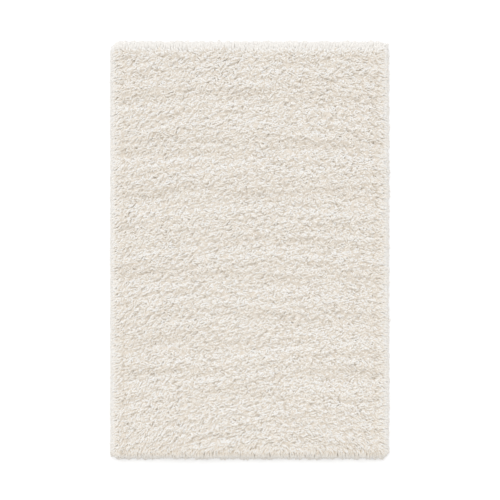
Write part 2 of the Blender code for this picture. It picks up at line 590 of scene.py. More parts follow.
@dataclass(frozen=True)
class YarnFinish:
    """Thick off-white yarn, two plies twisted together.

    Its map holds the looks of many strands side by side, from the darkest to the lightest: u
    goes round each of them in its own column and v goes from root to tip.

    Attributes:
        root: The colour deep in the pile, darker and warmer: painted shade.
        body: The colour along the strand.
        tip: The colour of the frayed, cut end, lighter: painted light where the ends lie on top.
        root_end: Where along the strand the root's colour ends.
        body_place: Where it has the body's colour.
        tip_start: Where the tip's colour begins.
        shaded: Painted shade: the tint of the few strands turned furthest from the light.
        painted_shade_warm: Painted shade: the warmer tint of the darker strands, turned from the
            light.
        painted_light_pale: Painted light: the tint of the lightest strands, turned to the light.
        shaded_end: How far through the strands the shaded tint lasts, from 0 to 1.
        warm_place: Where among the strands the warm tint is.
        columns: How many different strands the map holds.
        margin: How much of a column is left free at each side, as a share.
        most_round: How far round the strand the rest of it reaches, where 1 is once round.
        painted_shade_spread: How much lighter the lightest strand is than the darkest, past its
            tint.
        fibre_scale: How fine the fibres are.
        fibre_detail: How many finer layers they have.
        fibre_stretch: How much shorter they are along the strand than round it.
        fibre_contrast: How much lighter the lightest fibres are than the darkest.
        darkest: The shade of the darkest fibres.
        plies: How many plies there are side by side across a column of the map.
        turns: How far they wind along the strand, where 1 is to the next ply's place.
        relief: The height of the plies and fibres.
        fibre_relief: The fibres' part in it. The plies have the rest.
        roughness: How matt the yarn is.
        specular: How strongly it reflects.
        sheen: How much its loose fibres catch light from the side.
        sheen_roughness: How softly they do.
    """

    # Painted shade at the root and painted light at the tip.
    root: Colour = (0.618, 0.562, 0.486)
    body: Colour = (0.715, 0.686, 0.643)
    tip: Colour = (0.809, 0.806, 0.795)
    root_end: float = 0.2
    body_place: float = 0.5
    tip_start: float = 0.80
    # Tints of painted shade and light: darker, warmer strands where the surface turns from the
    # light.
    shaded: Colour = (0.90, 0.866, 0.82)
    painted_shade_warm: Colour = (1.0, 0.965, 0.916)
    painted_light_pale: Colour = (0.992, 0.994, 1.0)
    shaded_end: float = 0.02
    warm_place: float = 0.1
    columns: int = 32
    margin: float = 0.04
    most_round: float = 1.34
    # Painted shade: lower tones are darker as well.
    painted_shade_spread: float = 0.02
    fibre_scale: float = 6.0
    fibre_detail: float = 4.0
    fibre_stretch: float = 6.0
    fibre_contrast: float = 0.16
    darkest: float = 0.97
    plies: float = 2.0
    turns: float = 4.0
    relief: float = 0.0006
    fibre_relief: float = 0.5
    roughness: float = 0.92
    specular: float = 0.2
    sheen: float = 0.25
    sheen_roughness: float = 0.6

    def material(self) -> bpy.types.Material:
        """The yarn's material, which reads the strands' own map.

        Returns:
            The material.
        """
        shader = Shader("off_white_yarn", self.roughness, self.specular)
        shader.surface.inputs["Sheen Weight"].default_value = self.sheen
        shader.surface.inputs["Sheen Roughness"].default_value = self.sheen_roughness
        across, along = shader.split(shader.node("UVMap", uv_map=YARN_MAP).outputs[0])
        column = shader.maths("MULTIPLY", across, float(self.columns))
        tone = shader.maths("DIVIDE", shader.maths("FLOOR", column), self.columns - 1.0)
        stretched = shader.maths("MULTIPLY", along, self.fibre_stretch)
        place = shader.vector(column, stretched)
        fibres = shader.noise(place, self.fibre_scale, self.fibre_detail)
        # Painted shade: strands of a lower tone, turned from the light, are darker.
        darker = shader.maths("MULTIPLY", shader.maths("SUBTRACT", 1.0, tone), self.painted_shade_spread)
        least = shader.maths("SUBTRACT", self.darkest, darker)
        shade = shader.maths("MULTIPLY_ADD", fibres, self.fibre_contrast, least)
        shader.colour(shader.shaded(self._tinted(shader, along, tone), shade))
        around = shader.maths("MULTIPLY", shader.maths("FRACT", column), self.plies)
        turn = shader.maths("MULTIPLY_ADD", along, self.turns, around)
        wave = shader.maths("SINE", shader.maths("MULTIPLY", turn, math.pi))
        ridges = shader.maths("MULTIPLY", shader.maths("ABSOLUTE", wave), 1.0 - self.fibre_relief)
        shader.bump(shader.maths("MULTIPLY_ADD", fibres, self.fibre_relief, ridges), self.relief)
        return shader.material

    def places_across(self, column: np.ndarray, around: np.ndarray) -> np.ndarray:
        """Where corners of strands lie across the map.

        Args:
            column: The column that each strand shows.
            around: The share round the strand that each of its corners is at.

        Returns:
            The places of the corners of each strand, from 0 to 1.
        """
        used = 1.0 - 2 * self.margin
        return (column[:, None] + self.margin + used * around / self.most_round) / self.columns

    def _tinted(self, shader: Shader, along: Socket, tone: Socket) -> Socket:
        """The yarn's colour without its fibres.

        Args:
            shader: The yarn's shader.
            along: The place along the strand, from 0 to 1.
            tone: How light the strand is among all, from 0 to 1.

        Returns:
            The colour.
        """
        # Painted shade at the root and painted light at the tip, then tints of painted shade and
        # light by tone.
        yarn = (self.root_end, self.root), (self.body_place, self.body), (self.tip_start, self.tip)
        tints = (self.shaded_end, self.shaded), (self.warm_place, self.painted_shade_warm), (1.0, self.painted_light_pale)
        return shader.mixed(1.0, shader.ramp(along, yarn), shader.ramp(tone, tints), Blend.MULTIPLY)


@dataclass(frozen=True)
class FootFinish:
    """Packed yarn, deep in the pile.

    Attributes:
        dark: The colour of its darkest spots, in painted shade.
        light: The colour of its lightest spots, in painted shade.
        dark_end: The noise's value up to which it is dark.
        light_start: The noise's value from which it is light.
        scale: How fine its spots are.
        detail: How many finer layers they have.
        relief: The height of its relief.
        roughness: How matt it is.
        specular: How strongly it reflects.
    """

    # Painted shade: the mat shows in the gaps between strands, darker and warmer than the yarn.
    dark: Colour = (0.615, 0.550, 0.468)
    light: Colour = (0.738, 0.682, 0.612)
    dark_end: float = 0.3
    light_start: float = 0.7
    scale: float = 70.0
    detail: float = 2.0
    relief: float = 0.002
    roughness: float = 0.95
    specular: float = 0.1

    def material(self) -> bpy.types.Material:
        """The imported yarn's material, on the rug's own coordinates.

        Returns:
            The material.
        """
        shader = Shader("packed_yarn_painted_shade", self.roughness, self.specular)
        spots = shader.noise(shader.place(), self.scale, self.detail)
        stops = (self.dark_end, self.dark), (self.light_start, self.light)
        shader.colour(shader.ramp(spots, stops))
        shader.bump(spots, self.relief)
        return shader.material


@dataclass(frozen=True)
class BackingFinish:
    """Plain woven backing cloth of natural yarn.

    Attributes:
        warp: The colour of the threads along the rug.
        weft: The colour of the threads across the rug.
        pitch: The distance between two threads.
        relief: The height of the threads.
        fuzz_scale: How fine their fuzz is.
        fuzz_detail: How many finer layers it has.
        fuzz: How much it changes their shade and height.
        painted_thread_shade: Painted shade: how much lighter a thread is on its back than at its
            sides.
        darkest: The painted shade at the sides.
        roughness: How matt the cloth is.
    """

    warp: Colour = (0.56, 0.48, 0.36)
    weft: Colour = (0.62, 0.55, 0.43)
    pitch: float = 0.004
    relief: float = 0.0008
    fuzz_scale: float = 900.0
    fuzz_detail: float = 3.0
    fuzz: float = 0.2
    painted_thread_shade: float = 0.35
    darkest: float = 0.6
    roughness: float = 0.9

    def material(self) -> bpy.types.Material:
        """The cloth's material, on the rug's own coordinates.

        Returns:
            The material.
        """
        shader = Shader("woven_backing", self.roughness)
        place = shader.place()
        x, y = shader.split(place)
        warp_wave = shader.maths("SINE", shader.maths("MULTIPLY", x, math.pi / self.pitch))
        weft_wave = shader.maths("SINE", shader.maths("MULTIPLY", y, math.pi / self.pitch))
        over = shader.maths("MULTIPLY", warp_wave, weft_wave)
        is_warp = shader.maths("GREATER_THAN", over, 0.0)
        height = shader.maths("ABSOLUTE", over)
        fuzz = shader.noise(place, self.fuzz_scale, self.fuzz_detail)
        colour = shader.mixed(is_warp, (*self.weft, 1.0), (*self.warp, 1.0), Blend.MIX)
        least = shader.maths("MULTIPLY_ADD", fuzz, self.fuzz, self.darkest)
        # Painted shade: each thread lighter on its back, darker at its sides.
        shade = shader.maths("MULTIPLY_ADD", height, self.painted_thread_shade, least)
        shader.colour(shader.shaded(colour, shade))
        shader.bump(shader.maths("MULTIPLY_ADD", fuzz, self.fuzz, height), self.relief)
        return shader.material


@dataclass
class StrandShape:
    """One strand of yarn, modelled upright, which every strand of the pile is a bent copy of.

    Attributes:
        sides: How many sides it has.
        rings: Pairs of a ring's place along the strand, as a share of its length, and its
            radius, as a share of the strand's.
        points: The strand's points.
        faces: The points of each of its faces.
    """

    sides: int = 5
    rings: tuple[tuple[float, float], ...] = ((0.0, 0.75), (0.5, 1.0), (0.84, 0.92))
    points: np.ndarray = field(init=False)
    faces: list[list[int]] = field(init=False)

    def __post_init__(self) -> None:
        """Models the strand and reads its points and faces."""
        bpy.ops.object.select_all(action="DESELECT")
        bpy.ops.mesh.primitive_circle_add(vertices=self.sides, radius=1.0, fill_type="NGON")
        strand = bpy.context.object
        bpy.ops.object.mode_set(mode="EDIT")
        bpy.ops.mesh.select_all(action="SELECT")
        first = self.rings[0][1]
        bpy.ops.transform.resize(value=(first, first, 1.0))
        for (low, thin), (high, thick) in zip(self.rings, self.rings[1:]):
            bpy.ops.mesh.extrude_region_move(
                TRANSFORM_OT_translate={"value": (0.0, 0.0, high - low)}
            )
            grown = thick / thin
            bpy.ops.transform.resize(value=(grown, grown, 1.0))
        bpy.ops.mesh.extrude_region_move(
            TRANSFORM_OT_translate={"value": (0.0, 0.0, 1.0 - self.rings[-1][0])}
        )
        bpy.ops.mesh.merge(type="CENTER")
        bpy.ops.mesh.select_all(action="SELECT")
        bpy.ops.mesh.normals_make_consistent(inside=False)
        bpy.ops.object.mode_set(mode="OBJECT")
        self.points = np.array([vert.co for vert in strand.data.vertices])
        self.faces = [list(face.vertices) for face in strand.data.polygons]
        bpy.data.objects.remove(strand)

    def corners(self) -> np.ndarray:
        """The points of all faces' corners, face by face."""
        return np.array([corner for face in self.faces for corner in face])

    def map_places(self) -> np.ndarray:
        """Each corner's place on the strand's map.

        Returns:
            Rows of the share round the strand, which goes past 1 in a face that crosses the
            map's seam, and the share along it.
        """
        places = []
        for face in self.faces:
            x, y, z = self.points[face].T
            around = np.arctan2(y, x) / (2 * math.pi) % 1.0
            on_axis = np.hypot(x, y) < ON_AXIS
            if np.ptp(around[~on_axis]) > 0.5:
                around = np.where(around < 0.5, around + 1.0, around)
            around[on_axis] = around[~on_axis].mean()
            places.append(np.stack([around, z], 1))
        return np.concatenate(places)


@dataclass
class Lay:
    """Which way the pile lies: over to the rug's two sides, and outwards along its outline.

    Headings are turned from +X towards +Y. Near the sides they turn towards the near end.

    Attributes:
        left: The heading of the strands that lean to the left side.
        left_side: How much further they turn up to the left side.
        left_near: How much further still up to the near end's left corner.
        right: The heading of the strands that lean to the right side.
        right_side: How much further they turn up to the right side.
        right_near: How much further still up to the near end's right corner.
        divide: Where as many strands lean left as right, as a share of the rug's half width.
        side_pull: How strongly a strand's place decides to which side it leans.
        chance: How strongly chance does.
        spread: How far single strands stray from their heading, as a standard deviation.
        patch_spread: How far patches of strands do.
        patch: The shortest wave length of the patches. The longest is twice as long.
        hang: How strongly the strands next to the near end lean to it as well.
        hang_start: How far along the rug's near half they begin to, as a share of its length.
        hang_run: The stretch over which that sets in, as the same share.
        edge_band: The band along the outline in which the strands turn outwards.
        edge_pull: How strongly they do.
        left_drop: How much those at the left side then lean to the near end.
        right_drop: How much those at the right side do.
    """

    left: float = 191.0
    left_side: float = 24.0
    left_near: float = 10.0
    right: float = 13.0
    right_side: float = 22.0
    right_near: float = 10.0
    divide: float = 0.25
    side_pull: float = 3.0
    chance: float = 0.4
    spread: float = 25.0
    patch_spread: float = 22.0
    patch: float = 0.035
    hang: float = 0.5
    hang_start: float = 0.6
    hang_run: float = 0.4
    edge_band: float = 0.070
    edge_pull: float = 1.6
    left_drop: float = 0.55
    right_drop: float = 0.20

    def headings(
        self, x: np.ndarray, y: np.ndarray, surface: PileSurface, draw: np.random.Generator
    ) -> np.ndarray:
        """The direction that each strand leans in.

        Args:
            x: The strands' places across the rug.
            y: The strands' places along the rug.
            surface: The pile's surface.
            draw: The generator of the random draws.

        Returns:
            The directions, in radians from +X towards +Y.
        """
        half = surface.high
        u = x / half.x
        low = np.maximum(-y / half.y, 0.0)
        left = self.left + np.maximum(-u, 0.0) ** 2 * (self.left_side + self.left_near * low)
        right = self.right - np.maximum(u, 0.0) ** 2 * (self.right_side + self.right_near * low)
        chance = draw.standard_normal(len(x)) * self.chance
        to_left = chance < -self.side_pull * (u - self.divide)
        heading = np.radians(np.where(to_left, left, right))
        heading += np.radians(self.spread) * draw.standard_normal(len(x))
        patches = Unevenness(self.patch, 2 * self.patch, seed=11)
        heading += np.radians(self.patch_spread) * patches.at(x, y)
        lean_x = np.cos(heading)
        lean_y = np.sin(heading) - self.hang * smooth((low - self.hang_start) / self.hang_run)
        out_x = np.sign(x) * smooth(1.0 - (half.x - np.abs(x)) / self.edge_band)
        out_y = np.sign(y) * smooth(1.0 - (half.y - np.abs(y)) / self.edge_band)
        keep = 1.0 - np.maximum(np.abs(out_x), np.abs(out_y))
        drop = np.where(x < 0, self.left_drop, self.right_drop)
        drop = drop * np.abs(out_x) * (1.0 - np.abs(out_y))
        lean_x = lean_x * keep + out_x * self.edge_pull
        lean_y = lean_y * keep + (out_y - drop) * self.edge_pull
        return np.arctan2(lean_y, lean_x)


@dataclass
class PileFoot:
    """The foot of the pile, where the strands stand packed side by side: a mat on the backing.

    Attributes:
        surface: The pile's surface.
        finish: The mat's finish.
        backing: The height of the backing's upper face over the floor.
        inset: How far the mat's outline lies inside the rug's.
        share: The mat's height as a share of the pile's.
        edge: How far inside its outline the mat has reached that height.
        far_share: The share at the far end.
        far_edge: The same distance there.
        far_run: How far from the far end these begin to change.
        cell: The distance between two points of the mat.
        jitter: How far a point may be off its place, as a share of the cell.
        corner: The radius of the mat's corners.
        depth: How deep the mat is while it is modelled flat.
        rim: Points of its upper face nearer to its square outline than this are its rim.
        least: The least height of the upper face over the backing.
        roughness: How uneven the upper face is, as a standard deviation.
        seed: The seed of its random draws.
    """

    surface: PileSurface
    finish: FootFinish
    backing: float = 0.003
    inset: float = 0.009
    share: float = 0.890
    edge: float = 0.034
    far_share: float = 0.950
    far_edge: float = 0.018
    far_run: float = 0.060
    cell: float = 0.008
    jitter: float = 0.3
    corner: float = 0.030
    depth: float = 0.010
    rim: float = 0.0001
    least: float = 0.001
    roughness: float = 0.0022
    seed: int = 21

    def height(self, x: np.ndarray, y: np.ndarray) -> np.ndarray:
        """The height of the mat's upper face over the floor, before it is made rough.

        Args:
            x: Places across the rug.
            y: Places along the rug.

        Returns:
            The heights.
        """
        inside = self.surface.distance_inside(x, y)
        at_far_end = smooth((self.far_run - self.surface.high.y + y) / self.far_run)
        edge = self.edge + (self.far_edge - self.edge) * at_far_end
        share = np.clip((inside - self.inset) / edge, 0.0, 1.0)
        round_edge = np.sqrt(1.0 - (1.0 - share) ** 2)
        full = (self.share + (self.far_share - self.share) * at_far_end) * self.surface.at(x, y)
        return self.backing + (full - self.backing) * round_edge

    def build(self) -> bpy.types.Object:
        """Makes the mat, which is closed and uneven.

        Returns:
            The mat.
        """
        half_x = self.surface.high.x - self.inset
        half_y = self.surface.high.y - self.inset
        mat = self._flat(half_x, half_y)
        self._shape(mat.data, half_x, half_y)
        mat.data.shade_smooth()
        mat.data.uv_layers[0].name = YARN_MAP
        mat.data.materials.append(self.finish.material())
        return mat

    def _flat(self, half_x: float, half_y: float) -> bpy.types.Object:
        """Models the mat as a flat, square slab whose upper face is a grid.

        Args:
            half_x: Half its width.
            half_y: Half its length.

        Returns:
            The slab.
        """
        bpy.ops.object.select_all(action="DESELECT")
        bpy.ops.mesh.primitive_grid_add(
            x_subdivisions=round(2 * half_x / self.cell),
            y_subdivisions=round(2 * half_y / self.cell),
            size=1.0,
        )
        mat = bpy.context.object
        mat.name = "pile_foot"
        mat.scale = (2 * half_x, 2 * half_y, 1.0)
        bpy.ops.object.transform_apply(location=True, rotation=True, scale=True)
        bpy.ops.object.mode_set(mode="EDIT")
        bpy.ops.mesh.select_all(action="SELECT")
        bpy.ops.mesh.region_to_loop()
        bpy.ops.mesh.extrude_region_move(
            TRANSFORM_OT_translate={"value": (0.0, 0.0, -self.depth)}
        )
        bpy.ops.mesh.edge_face_add()
        bpy.ops.mesh.select_all(action="SELECT")
        bpy.ops.mesh.normals_make_consistent(inside=False)
        bpy.ops.object.mode_set(mode="OBJECT")
        return mat

    def _shape(self, mesh: bpy.types.Mesh, half_x: float, half_y: float) -> None:
        """Rounds the slab's corners and gives its upper face the pile's uneven height.

        Args:
            mesh: The slab's mesh.
            half_x: Half its width.
            half_y: Half its length.
        """
        co = np.empty(len(mesh.vertices) * 3)
        mesh.vertices.foreach_get("co", co)
        co = co.reshape(-1, 3)
        x, y = self._rounded(co[:, 0], co[:, 1], half_x, half_y)
        on_top = co[:, 2] > -self.depth / 2
        inner_x = np.abs(co[:, 0]) < half_x - self.rim
        inner_y = np.abs(co[:, 1]) < half_y - self.rim
        inner = inner_x & inner_y & on_top
        draw = np.random.default_rng(self.seed)
        x[inner] += self.jitter * self.cell * draw.uniform(-1, 1, inner.sum())
        y[inner] += self.jitter * self.cell * draw.uniform(-1, 1, inner.sum())
        rough = self.roughness * draw.standard_normal(len(co)) * inner
        height = np.maximum(self.height(x, y) + rough, self.backing + self.least)
        co = np.stack([x, y, np.where(on_top, height, self.backing)], 1)
        mesh.vertices.foreach_set("co", co.ravel())
        mesh.update()

    def _rounded(self, x: np.ndarray, y: np.ndarray, half_x: float, half_y: float) -> Arrays:
        """Points moved so that the mat's square corners turn into round ones.

        Args:
            x: The points' places across the rug.
            y: The points' places along the rug.
            half_x: Half the mat's width.
            half_y: Half the mat's length.

        Returns:
            The new places across and along the rug.
        """
        in_x = np.abs(x) - (half_x - self.corner)
        in_y = np.abs(y) - (half_y - self.corner)
        in_corner = (in_x > 0) & (in_y > 0)
        pull = np.maximum(in_x, in_y) / np.maximum(np.hypot(in_x, in_y), TINY)
        new_x = np.sign(x) * (half_x - self.corner + in_x * pull)
        new_y = np.sign(y) * (half_y - self.corner + in_y * pull)
        return np.where(in_corner, new_x, x), np.where(in_corner, new_y, y)


@dataclass(frozen=True)
class Edge:
    """How uneven the pile's outline is along one edge of the rug.

    Attributes:
        ragged: How far single strands end off the outline, as a standard deviation.
        tufted: How far tufts of them do together.
    """

    ragged: float
    tufted: float


@dataclass
class Rim:
    """How the strands end along the rug's outline, where they hang over it to the floor.

    Attributes:
        surface: The pile's surface.
        left: How uneven the left side is.
        right: How uneven the right side is.
        far: How uneven the far end is.
        near: How uneven the near end is.
        inset: How far inside the outline the strands that lie on the rug's top still end.
        layers: Pairs of how far inside the outline a layer of hanging strands ends, or, below
            0, outside it, and its height as a share of the surface's, from the floor up.
        pitch: The distance between two strands of a layer.
        near_spread: How uneven the height of a layer's ends is at the near end, as a share.
        side_spread: How uneven it is at the two sides.
        far_spread: How uneven it is at the far end.
        end_run: The stretch, from each end, over which that changes to the sides' value.
        band: How far inside the outline strands are moved with it.
        side_band: How near to an edge they have to lie to be moved square to it.
        end_band: How far from its ends the rug has the unevenness of the ends.
        corner_run: The stretch from the sides over which the far end's sets in.
        tuft_short: The shortest wave length of the tufts.
        tuft_long: The longest wave length of the tufts.
        tuft_most: The most that a tuft is off, in standard deviations.
        tuft_waves: How many waves the tufts are made of.
        side_in: How far the strands at the two sides are moved in.
        far_out: How far those at the far end are moved out.
        near_in: How far those at the near end are moved in.
    """

    surface: PileSurface
    left: Edge = Edge(ragged=0.0012, tufted=0.0004)
    right: Edge = Edge(ragged=0.0025, tufted=0.0022)
    far: Edge = Edge(ragged=0.0018, tufted=0.0034)
    near: Edge = Edge(ragged=0.0028, tufted=0.0027)
    inset: float = 0.001
    layers: tuple[tuple[float, float], ...] = (
        (0.0, 0.20),
        (-0.0015, 0.36),
        (-0.003, 0.54),
        (-0.002, 0.71),
        (0.002, 0.86),
        (0.009, 0.94),
    )
    pitch: float = 0.0043
    near_spread: float = 0.15
    side_spread: float = 0.11
    far_spread: float = 0.0
    end_run: float = 0.05
    band: float = 0.012
    side_band: float = 0.015
    end_band: float = 0.02
    corner_run: float = 0.05
    tuft_short: float = 0.016
    tuft_long: float = 0.050
    tuft_most: float = 1.6
    tuft_waves: int = 60
    side_in: float = 0.0010
    far_out: float = 0.0022
    near_in: float = 0.0048

    @property
    def half(self) -> tuple[float, float]:
        """Half the width and half the length that the ends on the rug's top spread over."""
        return self.surface.high.x - self.inset, self.surface.high.y - self.inset

    def ends(self, draw: np.random.Generator) -> list[np.ndarray]:
        """Where the hanging strands end.

        Args:
            draw: The generator of the random draws.

        Returns:
            For each layer, the ends' places across and along the rug and their height as a
            share of the surface's.
        """
        half_y = self.half[1]
        places = (-half_y, self.end_run - half_y, half_y - self.end_run, half_y)
        spreads = (self.near_spread, self.side_spread, self.side_spread, self.far_spread)
        layers = []
        for inset, share in self.layers:
            x, y = self.surface.outline(inset, self.pitch, draw)
            spread = np.interp(y, places, spreads)
            share = share * (1.0 + spread * draw.uniform(-1, 1, len(x)))
            layers.append(np.stack([x, y, share]))
        return layers

    def moved(self, x: np.ndarray, y: np.ndarray, draw: np.random.Generator) -> Arrays:
        """Ends moved so that the outline is ragged and tufted.

        Args:
            x: The ends' places across the rug.
            y: The ends' places along the rug.
            draw: The generator of the random draws.

        Returns:
            The new places across and along the rug.
        """
        half_x, half_y = self.half
        in_band = smooth(1.0 - self.surface.distance_inside(x, y) / self.band)
        at_far_end = smooth((half_x - np.abs(x)) / self.corner_run)
        at_far_end = np.where(y > half_y - self.end_band, at_far_end, 0.0)
        left, right, far, near = (
            np.array([[edge.ragged], [edge.tufted]])
            for edge in (self.left, self.right, self.far, self.near)
        )
        stray = np.where(x > 0, right, left)
        stray = stray + (far - stray) * at_far_end
        ragged, tufted = np.where(y < self.end_band - half_y, near, stray)
        tufts = Unevenness(self.tuft_short, self.tuft_long, seed=31, waves=self.tuft_waves)
        tuft = np.clip(tufts.at(x, y), -self.tuft_most, self.tuft_most)
        out = in_band * (ragged * draw.standard_normal(len(x)) + tufted * tuft)
        across = np.where(np.abs(x) > half_x - self.side_band, np.sign(x), 0.0)
        along = np.where(np.abs(y) > half_y - self.side_band, np.sign(y), 0.0)
        at_near_end = smooth(1.0 - (y + half_y) / self.surface.corner_radius)
        x = x + (out - self.side_in * in_band) * across
        y = y + (out + self.far_out * at_far_end * in_band) * along
        return x, y + self.near_in * in_band * at_near_end


@dataclass
class Toning:
    """How light each strand is, and how much of its root's and its tip's colour it shows.

    Attributes:
        surface: The pile's surface.
        noise: How much chance adds to a strand's tone, in standard deviations of the surface's
            turn.
        parting: How much darker strands are where the pile parts, in the same measure.
        far_plain: How plain the strands at the far end are: at 1 they have one colour all along.
        far_end: How far from the far end strands are plain.
        rim_plain: How plain those along the rest of the outline are.
        rim_end: How far inside the outline they are.
        fade: The stretch over which both set in.
        plain_place: The place on a strand whose colour a plain one has.
    """

    surface: PileSurface
    noise: float = 0.6
    parting: float = 1.0
    far_plain: float = 0.9
    # Painted shade: plain strands take one mid colour, darker than a tip, where the pile turns down
    # over the outline.
    far_end: float = 0.034
    rim_plain: float = 0.6
    rim_end: float = 0.020
    fade: float = 0.015
    plain_place: float = 0.56

    def ranks(self, x: np.ndarray, y: np.ndarray, draw: np.random.Generator) -> np.ndarray:
        """Each strand's rank among all, from the darkest to the lightest.

        Args:
            x: The strands' places across the rug.
            y: The strands' places along the rug.
            draw: The generator of the random draws.

        Returns:
            The ranks, from 0.
        """
        # Painted shade and light: strands rank darker where the surface turns away from the light
        # and where the pile parts, with some chance.
        tone = self.surface.turned_up(x, y) + self.noise * draw.standard_normal(len(x))
        tone -= self.parting * self.surface.at_parting(x)
        ranks = np.empty(len(x), int)
        ranks[np.argsort(tone)] = np.arange(len(x))
        return ranks

    def plain(self, x: np.ndarray, y: np.ndarray) -> np.ndarray:
        """How plain strands are.

        Args:
            x: Their places across the rug.
            y: Their places along the rug.

        Returns:
            Values from 0 to 1.
        """
        from_far_end = self.surface.high.y - y
        at_far_end = smooth((self.far_end - from_far_end) / self.fade)
        inside = self.surface.distance_inside(x, y)
        at_outline = smooth((self.rim_end - inside) / self.fade)
        return np.maximum(self.far_plain * at_far_end, self.rim_plain * at_outline)


@dataclass
class Pile:
    """The rug's pile: strands of yarn that lean out of the foot and lie over each other.

    A strand is placed by its free end, so that the ends cover the rug evenly. Its lean is its
    angle from upright.

    Attributes:
        surface: The pile's surface.
        shape: The strand that all are copies of.
        finish: The yarn's finish.
        foot: The foot that the strands rise from.
        lay: Which way they lie.
        rim: How they end along the outline.
        toning: How light they are.
        area: The rug's area for each strand on its top.
        even_x: How far across the next end lies from the last, as a share of the width. It
            goes on from the other side when it is past one.
        even_y: The same along the rug. Together they spread the ends evenly.
        shift: How far an end may be off, as a share of the mean distance between two.
        bunch: How far ends are moved along the rug to bunch up on the ripples.
        bunch_run: How far inside the outline that has set in.
        gather: How far ends are moved up the slopes of the locks.
        gather_run: How far inside the outline that has set in.
        length: The length of a strand on the rug's top.
        rim_length: The length of a hanging strand.
        length_spread: How far lengths differ, as a share and a standard deviation.
        radius: The radius of a strand.
        rim_radius: The radius along the outline.
        far_radius: The radius at the far end.
        rim_width: The width of the band over which these two set in.
        rim_start: How far inside the outline it starts, as a share of its width.
        radius_spread: How far radii differ, as a share and a standard deviation.
        root_lean: A strand's lean at its root.
        root_spread: How far this differs, as a standard deviation.
        tip_lean: A strand's lean at its tip.
        tip_spread: How far this differs, as a standard deviation.
        least_lean: The least lean at a tip.
        most_lean: The most lean at a tip.
        curl: How much strands curl sideways, as a standard deviation.
        curl_place: Where along the strand it has its own heading.
        anchor: The place along the strand that lies where its end was placed, away from the
            outline. Along the outline it is the tip. A strand's tone is also read there.
        anchor_start: How far inside the outline it begins to move away from the tip.
        anchor_run: The stretch over which it does.
        embed: How deep a root is sunk into the foot.
        root_inset: How far inside the outline the roots are to lie.
        root_pull: How far they are pulled in, as a share of what they lack to it.
        root_near: A root nearer to the rug's middle than this is pulled less.
        root_rise: How much higher than the lowest root of the hanging strands the highest is.
        height_spread: How far heights differ, as a share and a standard deviation.
        near_height_spread: How much further they do at the near end.
        near_end: How wide the near end is in which they do.
        sink: How far all strands are sunk into the surface, as a share of its height.
        floor_gap: The least height of a strand over the floor.
        bands: How many pieces the pile is made in.
        steps: How many steps a strand's centre line has.
        seed: The seed of the random draws.
    """

    surface: PileSurface
    shape: StrandShape
    finish: YarnFinish
    foot: PileFoot
    lay: Lay
    rim: Rim
    toning: Toning
    area: float = 0.0000900
    even_x: float = 0.7548776662
    even_y: float = 0.5698402910
    shift: float = 0.30
    bunch: float = 0.002
    bunch_run: float = 0.06
    gather: float = 0.0015
    gather_run: float = 0.03
    length: float = 0.027
    rim_length: float = 0.031
    length_spread: float = 0.08
    radius: float = 0.0040
    rim_radius: float = 0.0050
    far_radius: float = 0.0060
    rim_width: float = 0.012
    rim_start: float = 1.5
    radius_spread: float = 0.12
    root_lean: float = 50.0
    root_spread: float = 8.0
    tip_lean: float = 86.0
    tip_spread: float = 4.0
    least_lean: float = 50.0
    most_lean: float = 92.0
    curl: float = 16.0
    curl_place: float = 0.6
    anchor: float = 0.75
    anchor_start: float = 0.01
    anchor_run: float = 0.03
    embed: float = 0.002
    root_inset: float = 0.014
    root_pull: float = 1.2
    root_near: float = 0.1
    root_rise: float = 0.012
    height_spread: float = 0.02
    near_height_spread: float = 0.09
    near_end: float = 0.011
    sink: float = 0.02
    floor_gap: float = 0.0005
    bands: int = 5
    steps: int = 12
    seed: int = 5

    def build(self) -> list[bpy.types.Object]:
        """Makes the pile in bands along the rug, from the near end, each one joined mesh.

        Returns:
            The bands.
        """
        lines, radius = self._centre_lines()
        count = len(lines)
        LOG.info("%d strands", count)
        order = np.argsort(lines[:, 0, 1], kind="stable")
        band = np.empty(count, int)
        band[order] = np.arange(count) * self.bands // count
        material = self.finish.material()
        draw = np.random.default_rng(self.seed + 2)
        x, y = lines[:, self._anchor_step(), :2].T
        # Each strand's column sets its painted shade or light.
        column = self.toning.ranks(x, y, draw) * self.finish.columns // count
        plain = self.toning.plain(x, y)
        turn = draw.uniform(0.0, 2 * math.pi, count)
        pieces = []
        for i in range(self.bands):
            own = band == i
            mesh = self._mesh(f"pile_{i + 1}", self._points(lines[own], radius[own], turn[own]))
            self._map(mesh, column[own], plain[own])
            mesh.validate()
            mesh.materials.append(material)
            piece = bpy.data.objects.new(mesh.name, mesh)
            bpy.context.scene.collection.objects.link(piece)
            pieces.append(piece)
        return pieces

    def _anchor_step(self) -> int:
        """The step of the centre line that the anchor is at."""
        return round(self.anchor * self.steps)

    def _ends(self) -> np.ndarray:
        """Where the strands end.

        Returns:
            Three rows: the ends' places across and along the rug, and their height as a share
            of the surface's, which is 1 on the rug's top and less in the side.
        """
        draw = np.random.default_rng(self.seed)
        x, y = self._top_ends(draw)
        ends = np.concatenate([np.stack([x, y, np.ones(len(x))]), *self.rim.ends(draw)], 1)
        x, y, share = ends
        return np.stack([*self.rim.moved(x, y, draw), share])

